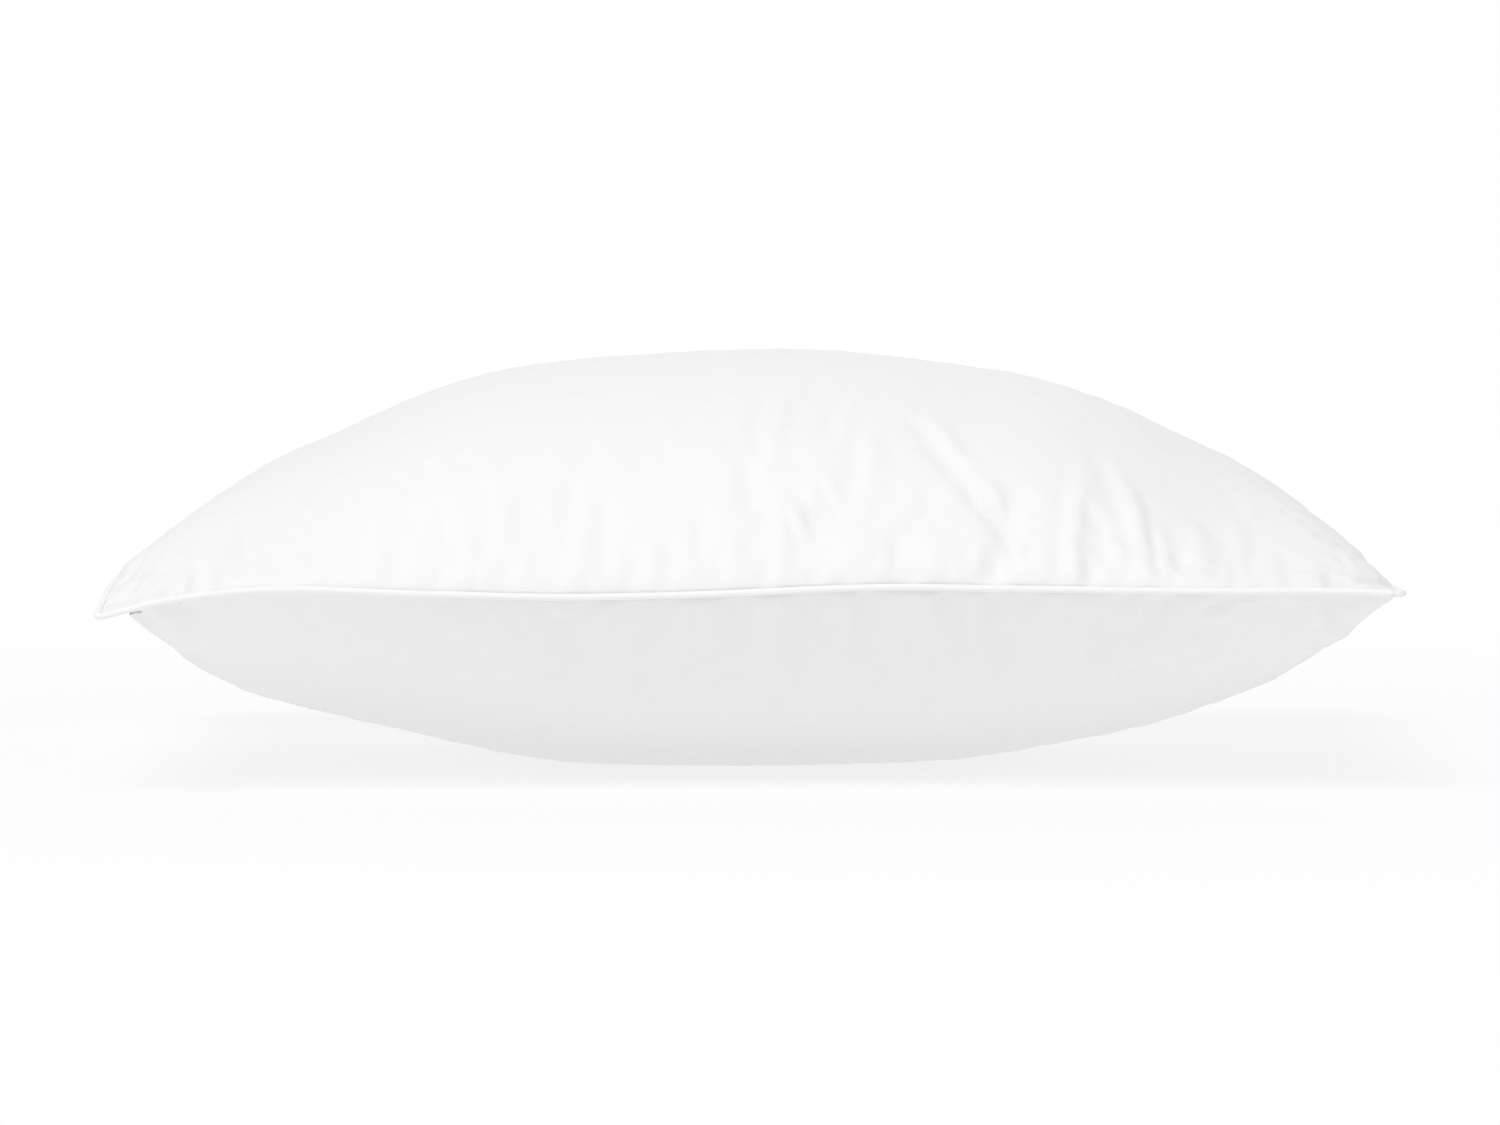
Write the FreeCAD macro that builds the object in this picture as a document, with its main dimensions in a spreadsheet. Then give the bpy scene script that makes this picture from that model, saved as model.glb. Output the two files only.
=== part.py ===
"""A bed pillow with a corded edge: two cotton panels sewn round a loose fibre fill, with piping in the seam.

Frame: millimetres, +Z up, origin on the surface that the pillow lies on, under its middle. +X runs along
the long sides, and the front long side is at -Y. The seam lies in one level plane, and its four sides are
pulled in between the corners, as the fill draws them.
"""

import FreeCAD, Part
import math
import os

import Sketcher
from FreeCAD import Placement, Rotation, Vector

# Driving dimensions: alias, value and what it measures.
DIMENSIONS = [
    ("half_length", 316.4, "middle to a corner of the piping's line, along the long side"),
    ("half_width", 244.0, "middle to a corner of the piping's line, along the short side"),
    ("long_pull", 24.0, "how far the middle of a long side is drawn in"),
    ("short_pull", 8.0, "how far the middle of a short side is drawn in"),
    ("corner_radius", 3.0, "bend of the piping's line at a corner"),
    ("seam_height", 96.5, "seam above the bed"),
    ("loft", 208.5, "crown above the bed"),
    ("belly_drop", 103.0, "depth of the lower dome before the bed flattens it"),
    ("edge_turn", 75.0, "degrees of an ellipse that a dome turns through, from its crown to its edge"),
    ("cloth", 0.6, "ticking, as modelled"),
    ("fold_gap", 0.5, "air between a panel and its turned-in edge"),
    ("allowance", 10.0, "width of the turned-in seam edges"),
    ("cord_radius", 1.25, "filler cord in the piping"),
    ("cord_slack", 0.05, "air between the filler cord and its cover"),
    ("cover_ply", 0.4, "bias strip round the cord, one ply"),
    ("ditch", 0.8, "gap between the piping and a panel's edge"),
    ("fill_inset", 12.0, "edge of the fill, in from the piping's line"),
    ("fill_gap", 0.3, "air round the fill"),
    ("stitch_pitch", 4.0, "from one lock stitch to the next"),
    ("stitch_length", 3.2, "thread that shows in each stitch"),
    ("thread_radius", 0.2, "sewing thread"),
    ("thread_lift", 0.1, "air under the closing stitches"),
    ("seam_inset", 6.0, "main line of stitches, in from the piping's line"),
    ("closing_inset", 3.4, "closing line of stitches, in from the piping's line"),
    ("closing_length", 180.0, "length of the gap that the pillow was filled through"),
    ("closing_place", -95.0, "middle of the closing seam, along the back side"),
    ("label_width", 25.0, "care label along the seam"),
    ("label_drop", 34.0, "care label below the seam"),
    ("label_tuck", 6.0, "care label inside the seam"),
    ("label_ply", 0.2, "satin ribbon, one ply"),
    ("label_gap", 0.1, "air between the label's two plies"),
    ("label_place", 140.0, "middle of the care label, along the back side"),
]
SURFACE_STEPS = 12  # spans of a dome's surface each way
UP, DOWN = 1, -1

# How a sketch names the points of an arc or a circle, its own origin and its two axes.
START, END, CENTRE = 1, 2, 3
ORIGIN = (-1, 1)
HORIZONTAL_AXIS, VERTICAL_AXIS = -1, -2

doc = FreeCAD.newDocument("bed_pillow")


def make_sheet():
    """The spreadsheet with one row for each driving dimension."""
    sheet = doc.addObject("Spreadsheet::Sheet", "dims")
    for row, (alias, value, note) in enumerate(DIMENSIONS, start=1):
        sheet.set(f"A{row}", alias)
        sheet.set(f"B{row}", str(value))
        sheet.set(f"C{row}", note)
        sheet.setAlias(f"B{row}", alias)
    doc.recompute()
    return sheet


dims = make_sheet()

# Sizes that follow from the driving ones, as expressions for the document.
COVER_RADIUS = "(dims.cord_radius + dims.cord_slack + dims.cover_ply)"
CLOTH_INSET = f"({COVER_RADIUS} + dims.ditch)"
LONG_MIDDLE = "(dims.half_width - dims.long_pull)"
SHORT_MIDDLE = "(dims.half_length - dims.short_pull)"
LONG_ARC = "((dims.half_length^2 + dims.long_pull^2) / (2 * dims.long_pull))"
SHORT_ARC = "((dims.half_width^2 + dims.short_pull^2) / (2 * dims.short_pull))"
LABEL_DEPTH = "(2 * dims.label_ply + dims.label_gap)"

# The same sizes as numbers, for the shapes that are worked out here.
cover_radius = dims.cord_radius + dims.cord_slack + dims.cover_ply
cloth_inset = cover_radius + dims.ditch
long_arc = (dims.half_length**2 + dims.long_pull**2) / (2 * dims.long_pull)
short_arc = (dims.half_width**2 + dims.short_pull**2) / (2 * dims.short_pull)
fold_height = 2 * dims.cloth + dims.fold_gap
panel_rise = dims.loft - dims.seam_height - dims.cover_ply - fold_height
label_depth = 2 * dims.label_ply + dims.label_gap
label_face = dims.half_width - dims.long_pull - cover_radius - (dims.ditch - label_depth) / 2
edge_sine = math.sin(math.radians(dims.edge_turn))
edge_cosine = math.cos(math.radians(dims.edge_turn))


# ---------------------------------------------------------------- the seam's outline


def sides(inset):
    """The outline's four sides, anticlockwise from the front: (arc centre, radius, direction of its middle).

    A side is an arc that bends inwards: its centre lies outside the pillow and its radius grows with inset.
    """
    long_centre = dims.half_width - dims.long_pull + long_arc
    short_centre = dims.half_length - dims.short_pull + short_arc
    return [
        (Vector(0, -long_centre, 0), long_arc + inset, 90),
        (Vector(short_centre, 0, 0), short_arc + inset, 180),
        (Vector(0, long_centre, 0), long_arc + inset, 270),
        (Vector(-short_centre, 0, 0), short_arc + inset, 0),
    ]


def corner_centre(side, following, radius):
    """Centre of the small arc that touches two neighbouring sides, where their widened circles cross."""
    (first, first_radius, _), (second, second_radius, _) = side, following
    reach_first, reach_second = first_radius + radius, second_radius + radius
    apart = second - first
    distance = apart.Length
    along = (distance**2 + reach_first**2 - reach_second**2) / (2 * distance)
    across = math.sqrt(reach_first**2 - along**2)
    apart.normalize()
    foot = first + apart * along
    sideways = Vector(-apart.y, apart.x, 0) * across
    return min((foot + sideways, foot - sideways), key=lambda point: point.Length)


def touching_point(side, corner):
    """Where a corner's arc touches a side."""
    centre, radius, _ = side
    direction = corner - centre
    direction.normalize()
    return centre + direction * radius


def arc_between(centre, radius, start, end):
    """An anticlockwise arc from start to end round centre."""
    first = math.atan2(start.y - centre.y, start.x - centre.x)
    last = math.atan2(end.y - centre.y, end.x - centre.x)
    circle = Part.Circle(centre, Vector(0, 0, 1), radius)
    return Part.ArcOfCircle(circle, first, last + (2 * math.pi if last < first else 0))


def bind(sketch, rule, kind, *arguments):
    """Adds one constraint to a sketch and ties its size to the spreadsheet."""
    index = sketch.addConstraint(Sketcher.Constraint(kind, *arguments))
    sketch.setExpression(f"Constraints[{index}]", rule)


def add_side(sketch, side, arc, crosses_y, inset_rule):
    """Draws one side's arc, with its centre held on the axis that it crosses."""
    centre, radius, _ = side
    number = sketch.addGeometry(arc)
    axis, kind = (VERTICAL_AXIS, "DistanceY") if crosses_y else (HORIZONTAL_AXIS, "DistanceX")
    middle_rule, arc_rule = (LONG_MIDDLE, LONG_ARC) if crosses_y else (SHORT_MIDDLE, SHORT_ARC)
    outward = centre.y if crosses_y else centre.x
    ends = [(number, CENTRE), ORIGIN] if outward < 0 else [ORIGIN, (number, CENTRE)]
    sketch.addConstraint(Sketcher.Constraint("PointOnObject", number, CENTRE, axis))
    bind(sketch, f"{middle_rule} + {arc_rule}", kind, *ends[0], *ends[1], abs(outward))
    bind(sketch, f"{arc_rule} + {inset_rule}", "Radius", number, radius)
    return number


def add_outline(sketch, inset, inset_rule):
    """Draws the seam's outline, drawn in by inset: four side arcs and four corner arcs that touch them."""
    radius = dims.corner_radius
    ring = sides(inset)
    corners = [corner_centre(ring[i], ring[(i + 1) % 4], radius) for i in range(4)]
    numbers = []
    for i, side in enumerate(ring):
        before, after, following = corners[i - 1], corners[i], ring[(i + 1) % 4]
        arc = arc_between(side[0], side[1], touching_point(side, after), touching_point(side, before))
        bend = arc_between(after, radius, touching_point(side, after), touching_point(following, after))
        side_number = add_side(sketch, side, arc, i % 2 == 0, inset_rule)
        bend_number = sketch.addGeometry(bend)
        bind(sketch, "dims.corner_radius", "Radius", bend_number, radius)
        numbers.append((side_number, bend_number))
    for i, (side_number, bend_number) in enumerate(numbers):
        following = numbers[(i + 1) % 4][0]
        sketch.addConstraint(Sketcher.Constraint("Tangent", side_number, START, bend_number, START))
        sketch.addConstraint(Sketcher.Constraint("Tangent", bend_number, END, following, END))


# ---------------------------------------------------------------- document helpers


def new_body(name):
    """A PartDesign body whose label is its node's name."""
    body = doc.addObject("PartDesign::Body", name)
    body.Label = name
    return body


def new_sketch(body, name, plane, height_rule=None):
    """A sketch on one of the body's own origin planes, raised along the plane's normal by height_rule."""
    sketch = body.newObject("Sketcher::SketchObject", name)
    support = next(f for f in body.Origin.OriginFeatures if f.Role == plane)
    sketch.AttachmentSupport = [(support, "")]
    sketch.MapMode = "FlatFace"
    if height_rule:
        sketch.setExpression("AttachmentOffset.Base.z", height_rule)
    return sketch


def seam_path(body):
    """The piping's line, in the seam's plane."""
    path = new_sketch(body, body.Name + "_path", "XY_Plane", "dims.seam_height")
    add_outline(path, 0, "0")
    return path


def cord_section(body, name, radius, radius_rule):
    """A circle square to the piping's line, at the middle of the front side."""
    section = new_sketch(body, name, "YZ_Plane")
    middle = dims.half_width - dims.long_pull
    centre = Vector(-middle, dims.seam_height, 0)
    circle = section.addGeometry(Part.Circle(centre, Vector(0, 0, 1), radius))
    bind(section, LONG_MIDDLE, "DistanceX", circle, CENTRE, *ORIGIN, middle)
    bind(section, "dims.seam_height", "DistanceY", *ORIGIN, circle, CENTRE, dims.seam_height)
    bind(section, radius_rule, "Radius", circle, radius)
    return section


def sweep_along(body, kind, name, section, path):
    """An AdditivePipe or SubtractivePipe of a section along the whole of a path."""
    doc.recompute()
    pipe = body.newObject(f"PartDesign::{kind}", name)
    pipe.Profile = (section, [""])
    pipe.Spine = (path, [""])
    doc.recompute()
    return pipe


def shape_feature(name, shape):
    """A Part::Feature that holds a shape worked out here."""
    feature = doc.addObject("Part::Feature", name)
    feature.Shape = shape
    return feature


def boolean(kind, name, base, tool):
    """A Part::Cut or Part::Common of two features."""
    feature = doc.addObject(f"Part::{kind}", name)
    feature.Base, feature.Tool = base, tool
    return feature


def fused(name, *pieces):
    """One feature that joins several."""
    feature = doc.addObject("Part::MultiFuse", name)
    feature.Shapes = list(pieces)
    return feature


# ---------------------------------------------------------------- domes of cloth and fill


def crown(share):
    """Height of the dome as a share of its rise, at share of the way from the middle to a side.

    It is the top of an ellipse, cut off at its edge turn, so the cloth leaves the seam steeply.
    """
    return (math.sqrt(1 - (share * edge_sine) ** 2) - edge_cosine) / (1 - edge_cosine)


def edge_slope():
    """Steepness of the crown at a side: height lost as a share of the rise, for the last share of the way."""
    return edge_sine**2 / edge_cosine / (1 - edge_cosine)


def plan_point(across, along, inset):
    """Where the shares across and along, each from -1 to 1 between the pulled-in sides, lie in the plan."""
    (front, long_radius, _), (right, short_radius, _) = ring = sides(inset)[:2]
    corner = corner_centre(*ring, 0)
    reach_x = right.x - math.sqrt(short_radius**2 - (along * corner.y) ** 2)
    reach_y = -front.y - math.sqrt(long_radius**2 - (across * corner.x) ** 2)
    return across * reach_x, along * reach_y


def dome(inset, base, wall, rise, way):
    """A closed solid on the plane z = base: a low wall round the seam's outline, then a dome, up or down."""
    turns = [math.radians(dims.edge_turn) * (2 * i / SURFACE_STEPS - 1) for i in range(SURFACE_STEPS + 1)]
    shares = [math.sin(turn) / edge_sine for turn in turns]
    rim = base + way * wall
    grid = [
        [Vector(*plan_point(a, b, inset), rim + way * rise * crown(a) * crown(b)) for b in shares]
        for a in shares
    ]
    surface = Part.BSplineSurface()
    surface.interpolate(grid)
    skin = surface.toShape()
    back = Vector(0, 0, -way * wall)
    walls = [edge.extrude(back) for edge in skin.OuterWire.Edges]
    foot = skin.OuterWire.copy()
    foot.translate(back)
    shell = Part.makeCompound([skin, Part.Face(foot), *walls])
    shell.sewShape()
    solid = Part.Solid(shell.Shells[0])
    if solid.Volume < 0:
        solid.reverse()
    return solid


def slab(name, bottom_rule):
    """A box that covers the pillow's plan and reaches from bottom_rule to above the crown."""
    box = doc.addObject("Part::Box", name)
    box.setExpression("Length", "2.2 * dims.half_length")
    box.setExpression("Width", "2.2 * dims.half_width")
    box.setExpression("Height", "1.2 * dims.loft")
    box.setExpression("Placement.Base.x", "-1.1 * dims.half_length")
    box.setExpression("Placement.Base.y", "-1.1 * dims.half_width")
    box.setExpression("Placement.Base.z", bottom_rule)
    return box


def opening(name, inset, inset_rule, height_rule):
    """A prism over the outline drawn in by inset, centred on the seam's plane."""
    body = new_body(name)
    outline = new_sketch(body, name + "_outline", "XY_Plane", "dims.seam_height")
    add_outline(outline, inset, inset_rule)
    doc.recompute()
    pad = body.newObject("PartDesign::Pad", name + "_pad")
    pad.Profile = outline
    pad.Midplane = True
    pad.setExpression("Length", height_rule)
    doc.recompute()
    return body


def panel_blank(way, inset_more, plies):
    """The dome of one panel's outer face (0 plies in) or inner face (1 ply in)."""
    base = dims.seam_height + way * (dims.cover_ply + plies * dims.cloth)
    wall = dims.fold_gap if plies else fold_height
    rise = panel_rise if way == UP else dims.belly_drop
    return dome(cloth_inset + inset_more, base, wall, rise, way)


def make_panels(neck):
    """The two ticking panels, each a dome of cloth with its edges turned in flat along the seam."""
    side_slope = 2 * dims.cloth / 3  # the cloth's thickness, measured level, where a panel leaves the seam
    top_hollow = fused("top_hollow", shape_feature("top_inner", panel_blank(UP, side_slope, 1)), neck)
    top = boolean("Cut", "top_panel", shape_feature("top_outer", panel_blank(UP, 0, 0)), top_hollow)
    rested = boolean(
        "Common",
        "bottom_rested",
        shape_feature("bottom_outer", panel_blank(DOWN, 0, 0)),
        slab("above_bed", "0"),
    )
    rested_inner = boolean(
        "Common",
        "bottom_rested_inner",
        shape_feature("bottom_inner", panel_blank(DOWN, side_slope, 1)),
        slab("above_cloth", "dims.cloth"),
    )
    return top, rested, fused("bottom_hollow", rested_inner, neck)


def make_fill():
    """The loose fibre fill: an upper and a lower dome joined through the opening between the seam edges."""
    clear = dims.cover_ply + dims.cloth + dims.fill_gap
    slack = dims.fold_gap - 3 * dims.fill_gap
    upper = dome(dims.fill_inset, dims.seam_height + clear, dims.fill_gap, panel_rise + slack, UP)
    lower = dome(dims.fill_inset, dims.seam_height - clear, dims.fill_gap, dims.belly_drop + slack, DOWN)
    rested = boolean(
        "Common",
        "fill_rested",
        shape_feature("fill_lower", lower),
        slab("above_ticking", "dims.cloth + dims.fill_gap"),
    )
    inset = cloth_inset + dims.allowance + 2 * dims.fill_gap
    inset_rule = f"{CLOTH_INSET} + dims.allowance + 2 * dims.fill_gap"
    height_rule = "2 * (dims.cover_ply + dims.cloth + dims.fill_gap)"
    waist = opening("fill_waist", inset, inset_rule, height_rule)
    return fused("fill", shape_feature("fill_upper", upper), rested, waist)


# ---------------------------------------------------------------- piping


def make_piping_cord():
    """The filler cord: a closed loop of round cord along the seam."""
    body = new_body("piping_cord")
    path = seam_path(body)
    section = cord_section(body, "piping_cord_section", dims.cord_radius, "dims.cord_radius")
    body.Tip = sweep_along(body, "AdditivePipe", "piping_cord_pipe", section, path)
    return body


def make_piping_cover():
    """The bias strip: a tube round the cord, whose two plies run in between the panels as a flat flange."""
    body = new_body("piping_cover")
    flange = new_sketch(body, "flange_outline", "XY_Plane", "dims.seam_height")
    add_outline(flange, 0, "0")
    add_outline(flange, cloth_inset + dims.allowance, f"{CLOTH_INSET} + dims.allowance")
    doc.recompute()
    pad = body.newObject("PartDesign::Pad", "flange")
    pad.Profile = flange
    pad.Midplane = True
    pad.setExpression("Length", "2 * dims.cover_ply")
    path = seam_path(body)
    outer = cord_section(body, "cover_outside", cover_radius, COVER_RADIUS)
    sweep_along(body, "AdditivePipe", "cover_tube", outer, path)
    bore_rule = "dims.cord_radius + dims.cord_slack"
    bore = cord_section(body, "cover_inside", dims.cord_radius + dims.cord_slack, bore_rule)
    body.Tip = sweep_along(body, "SubtractivePipe", "cover_bore", bore, path)
    return body


# ---------------------------------------------------------------- stitches


def along_side(side, run, height):
    """(point, direction) on a side's arc, run millimetres anticlockwise from its middle."""
    centre, radius, middle = side
    angle = math.radians(middle) - run / radius
    outward = Vector(math.cos(angle), math.sin(angle), 0)
    point = centre + outward * radius
    point.z = height
    return point, Vector(outward.y, -outward.x, 0)


def stitch(point, direction):
    """One straight bar of thread with its middle at point."""
    start = point - direction * (dims.stitch_length / 2)
    return Part.makeCylinder(dims.thread_radius, dims.stitch_length, start, direction)


def stitch_line(name, inset, height):
    """A feature that holds one line of stitches all round the seam, drawn in by inset, at one height."""
    bars = []
    for index, side in enumerate(sides(inset)):
        reach = (dims.half_length if index % 2 == 0 else dims.half_width) - inset
        count = int((2 * reach - dims.stitch_length) / dims.stitch_pitch)
        for step in range(count + 1):
            run = (step - count / 2) * dims.stitch_pitch
            bars.append(stitch(*along_side(side, run, height)))
    return shape_feature(name, Part.makeCompound(bars))


def make_seam_threads():
    """The lock stitch's two threads, above and below the seam edges, and the line that closes the piping."""
    lift = dims.cover_ply + dims.cloth + dims.thread_radius
    on_strip = dims.cover_ply + dims.thread_radius
    return [
        stitch_line("needle_thread", dims.seam_inset, dims.seam_height + lift),
        stitch_line("bobbin_thread", dims.seam_inset, dims.seam_height - lift),
        stitch_line("piping_thread", cover_radius + dims.ditch / 2, dims.seam_height + on_strip),
    ]


def make_closing_thread():
    """The stitches that closed the pillow after filling, outside both panels, along the back side."""
    back = sides(dims.closing_inset)[2]
    corner = corner_centre(*sides(cloth_inset)[:2], 0)
    count = int(dims.closing_length / dims.stitch_pitch)
    bars = []
    for way, rise in ((UP, panel_rise), (DOWN, dims.belly_drop)):
        for step in range(count + 1):
            run = -dims.closing_place + (step - count / 2) * dims.stitch_pitch
            point, direction = along_side(back, run, 0)
            across = point.x / corner.x
            reach = plan_point(across, 1, cloth_inset)[1]
            above = rise * crown(across) * crown(point.y / reach)
            slope = edge_slope() * rise * crown(across) / reach
            lift = (dims.thread_radius + dims.thread_lift) * math.hypot(1, slope)
            point.z = dims.seam_height + way * (dims.cover_ply + fold_height + above + lift)
            bars.append(stitch(point, direction))
    return shape_feature("closing_thread", Part.makeCompound(bars))


# ---------------------------------------------------------------- care label


def label_swing():
    """The turn round the back side's arc that carries a piece from the side's middle to the label's place."""
    centre = sides(0)[2][0]
    angle = math.degrees(dims.label_place / long_arc)
    return Placement(Vector(0, 0, 0), Rotation(Vector(0, 0, 1), angle), centre)


def hook(reach, top, outside, low, radius):
    """Edges of one bent line: level out from reach to outside, down to low, and round a half turn."""
    inside = outside - 2 * radius
    corner, foot = Vector(outside, top, 0), Vector(outside, low, 0)
    turn = Vector(outside - radius, low - radius, 0)
    back = Vector(inside, low, 0)
    return [
        Part.LineSegment(Vector(reach, top, 0), corner),
        Part.LineSegment(corner, foot),
        Part.Arc(foot, turn, back),
    ]


def make_care_label():
    """A satin ribbon folded double: its ends are sewn in under the flange and its fold hangs below the seam."""
    body = new_body("care_label")
    profile = new_sketch(body, "care_label_profile", "YZ_Plane")
    ply, gap = dims.label_ply, dims.label_gap
    outside = label_face
    end = outside - label_depth - dims.label_tuck
    top = dims.seam_height - dims.cover_ply
    low = dims.seam_height - dims.label_drop + label_depth / 2
    outer = hook(end, top, outside, low, label_depth / 2)
    inner = hook(end, top - ply, outside - ply, low, gap / 2)
    bend = top - ply - gap
    slit = Vector(outside - ply - gap, low, 0)
    tail = [slit, Vector(slit.x, bend, 0), Vector(end, bend, 0), Vector(end, bend - ply, 0)]
    tail += [Vector(slit.x - ply, bend - ply, 0), Vector(slit.x - ply, low, 0)]
    edges = outer + inner + [Part.LineSegment(a, b) for a, b in zip(tail, tail[1:])]
    edges.append(Part.LineSegment(Vector(end, top, 0), Vector(end, top - ply, 0)))
    for edge in edges:
        profile.addGeometry(edge)
    doc.recompute()
    pad = body.newObject("PartDesign::Pad", "care_label_pad")
    pad.Profile = profile
    pad.Midplane = True
    pad.setExpression("Length", "dims.label_width")
    body.Placement = label_swing()
    return body


def make_label_slot():
    """The slot in the lower panel's seam edge that the label's end passes through."""
    slot = doc.addObject("Part::Box", "label_slot")
    slot.setExpression("Length", "dims.label_width + 2 * dims.label_gap")
    slot.setExpression("Width", "2 * dims.label_tuck")
    slot.setExpression("Height", f"{LABEL_DEPTH} + dims.label_gap")
    doc.recompute()
    corner = Vector(-slot.Length.Value / 2, label_face + label_depth - slot.Width.Value, 0)
    corner.z = dims.seam_height - dims.cover_ply - slot.Height.Value
    slot.Placement = label_swing() * Placement(corner, Rotation())
    return slot


def main():
    neck_inset = cloth_inset + dims.allowance
    neck = opening("neck", neck_inset, f"{CLOTH_INSET} + dims.allowance", "4 * (dims.cover_ply + dims.cloth)")
    top, rested, hollow = make_panels(neck)
    bottom = boolean("Cut", "bottom_panel", rested, fused("bottom_openings", hollow, make_label_slot()))
    subparts = [top, bottom, make_fill(), make_piping_cord(), make_piping_cover()]
    subparts += [*make_seam_threads(), make_closing_thread(), make_care_label()]
    doc.recompute()
    for item in doc.Objects:
        if "Invalid" in item.State or "Error" in item.State:
            raise RuntimeError(f"{item.Label} failed: {item.State}")
    os.makedirs("parts", exist_ok=True)
    for subpart in subparts:
        shape = subpart.Shape
        if shape.isNull() or not shape.isValid():
            raise RuntimeError(f"{subpart.Label} has no valid shape")
        print(subpart.Label, len(shape.Solids), "solids,", round(shape.Volume / 1000, 2), "cm3")
        shape.exportStep(f"parts/{subpart.Label}.step")


main()
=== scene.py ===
"""A stuffed cotton bed pillow with a corded edge, built round the CAD frame, and its plain white stage."""

import math

import bpy
import numpy as np
from bpy.props import FloatProperty, FloatVectorProperty, IntProperty, PointerProperty
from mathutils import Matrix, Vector


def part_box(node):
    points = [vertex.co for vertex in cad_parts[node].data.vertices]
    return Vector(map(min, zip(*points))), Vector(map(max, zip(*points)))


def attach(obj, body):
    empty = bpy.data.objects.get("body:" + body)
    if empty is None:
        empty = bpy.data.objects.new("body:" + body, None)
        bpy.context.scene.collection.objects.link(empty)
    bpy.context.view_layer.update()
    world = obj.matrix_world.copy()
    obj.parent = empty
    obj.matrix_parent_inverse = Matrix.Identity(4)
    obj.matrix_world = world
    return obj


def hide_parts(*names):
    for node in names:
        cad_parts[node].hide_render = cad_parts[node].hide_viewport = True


bl_info = {
    "name": "Corded bed pillow",
    "version": (1, 0, 0),
    "blender": (4, 5, 0),
    "location": "View3D > Sidebar > Pillow",
    "description": "Builds a stuffed cotton bed pillow with a corded edge, piece by piece, and its stage",
    "category": "Object",
}

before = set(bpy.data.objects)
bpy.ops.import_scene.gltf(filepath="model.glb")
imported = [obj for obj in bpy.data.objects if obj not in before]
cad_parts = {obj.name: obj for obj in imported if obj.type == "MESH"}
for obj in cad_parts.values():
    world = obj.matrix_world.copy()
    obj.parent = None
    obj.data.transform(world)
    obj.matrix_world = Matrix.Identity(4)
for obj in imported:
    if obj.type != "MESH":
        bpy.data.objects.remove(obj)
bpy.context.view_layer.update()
PIPING_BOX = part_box("piping_cover")
CROWN_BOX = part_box("top_panel")
CORD_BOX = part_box("piping_cord")
LABEL_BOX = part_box("care_label")
CLOSING_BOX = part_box("closing_thread")

PIPING_RADIUS = (PIPING_BOX[1].z - PIPING_BOX[0].z) / 2
CORD_RADIUS = (CORD_BOX[1].z - CORD_BOX[0].z) / 2
SEAM_HEIGHT = (PIPING_BOX[1].z + PIPING_BOX[0].z) / 2
HALF_LENGTH = PIPING_BOX[1].x - PIPING_RADIUS
HALF_WIDTH = PIPING_BOX[1].y - PIPING_RADIUS
CROWN_RISE = CROWN_BOX[1].z - SEAM_HEIGHT
MM = 0.001
TOP, BOTTOM = 1, -1

# How far round its ellipse each panel goes before it meets the seam, in degrees: along and across the pillow.
TOP_TURN = (75, 78)
BELLY_TURN = (86, 82)
ALLOWANCE = 10 * MM
FLANGE_START = 1.65 * MM
PIPING_STEP = 2 * MM
CORD_STEP = 1.5 * MM

# How far the seam stands above its level in the CAD frame: (share of the side, millimetres).
FRONT_LEVEL = [(-1, -8.6), (-0.91, -1.7), (-0.79, 3.4), (-0.5, 1.9), (-0.3, 0.1), (-0.11, 1.0), (0.23, 4.9),
               (0.38, 4.4), (0.69, 3.6), (0.94, 3.8), (1, 3.0)]
BACK_LEVEL = [(-1, -3), (-0.82, 2), (-0.4, 0), (0.1, 3), (0.5, -1), (0.85, 3), (1, -5)]
LEFT_LEVEL = [(-1, -8.6), (-0.86, 0), (-0.3, 3), (0.35, -1), (0.85, 1), (1, -3)]
RIGHT_LEVEL = [(-1, 3), (-0.6, 4), (0, 0), (0.55, 2.5), (0.88, 0), (1, -5)]

# Where the crest and the belly are fuller than an ellipse: (share of the length, share of the rise, reach).
CREST_SWELLINGS = [(-0.97, -0.08, 0.05), (-0.72, -0.17, 0.17), (-0.38, 0.02, 0.16), (0.47, 0.035, 0.09),
                   (0.77, -0.13, 0.14), (0.97, 0.08, 0.05)]
BELLY_SWELLINGS = [(-0.96, 0.15, 0.06), (-0.76, 0.06, 0.2), (-0.6, -0.05, 0.2), (0.6, -0.04, 0.2),
                   (0.66, 0.035, 0.1), (0.97, 0.14, 0.06)]

# How far each corner's two panels lie flat together, as an ear: (left or right, front or back, millimetres).
EARS = [(-1, -1, 21), (1, -1, 3), (-1, 1, 12), (1, 1, 10)]

# How much cloth is gathered into the front seam: (share of the length, share of the growth).
TOP_GATHERS = [(-1, 0.9), (-0.8, 0.15), (-0.4, 0.08), (-0.15, 0.12), (0.2, 0.45), (0.5, 0.6),
               (0.8, 0.55), (1, 1)]
BOTTOM_GATHERS = [(-1, 0.9), (-0.8, 0.3), (-0.2, 0.3), (0.1, 0.5), (0.6, 0.6), (0.85, 0.8), (1, 1)]

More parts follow.
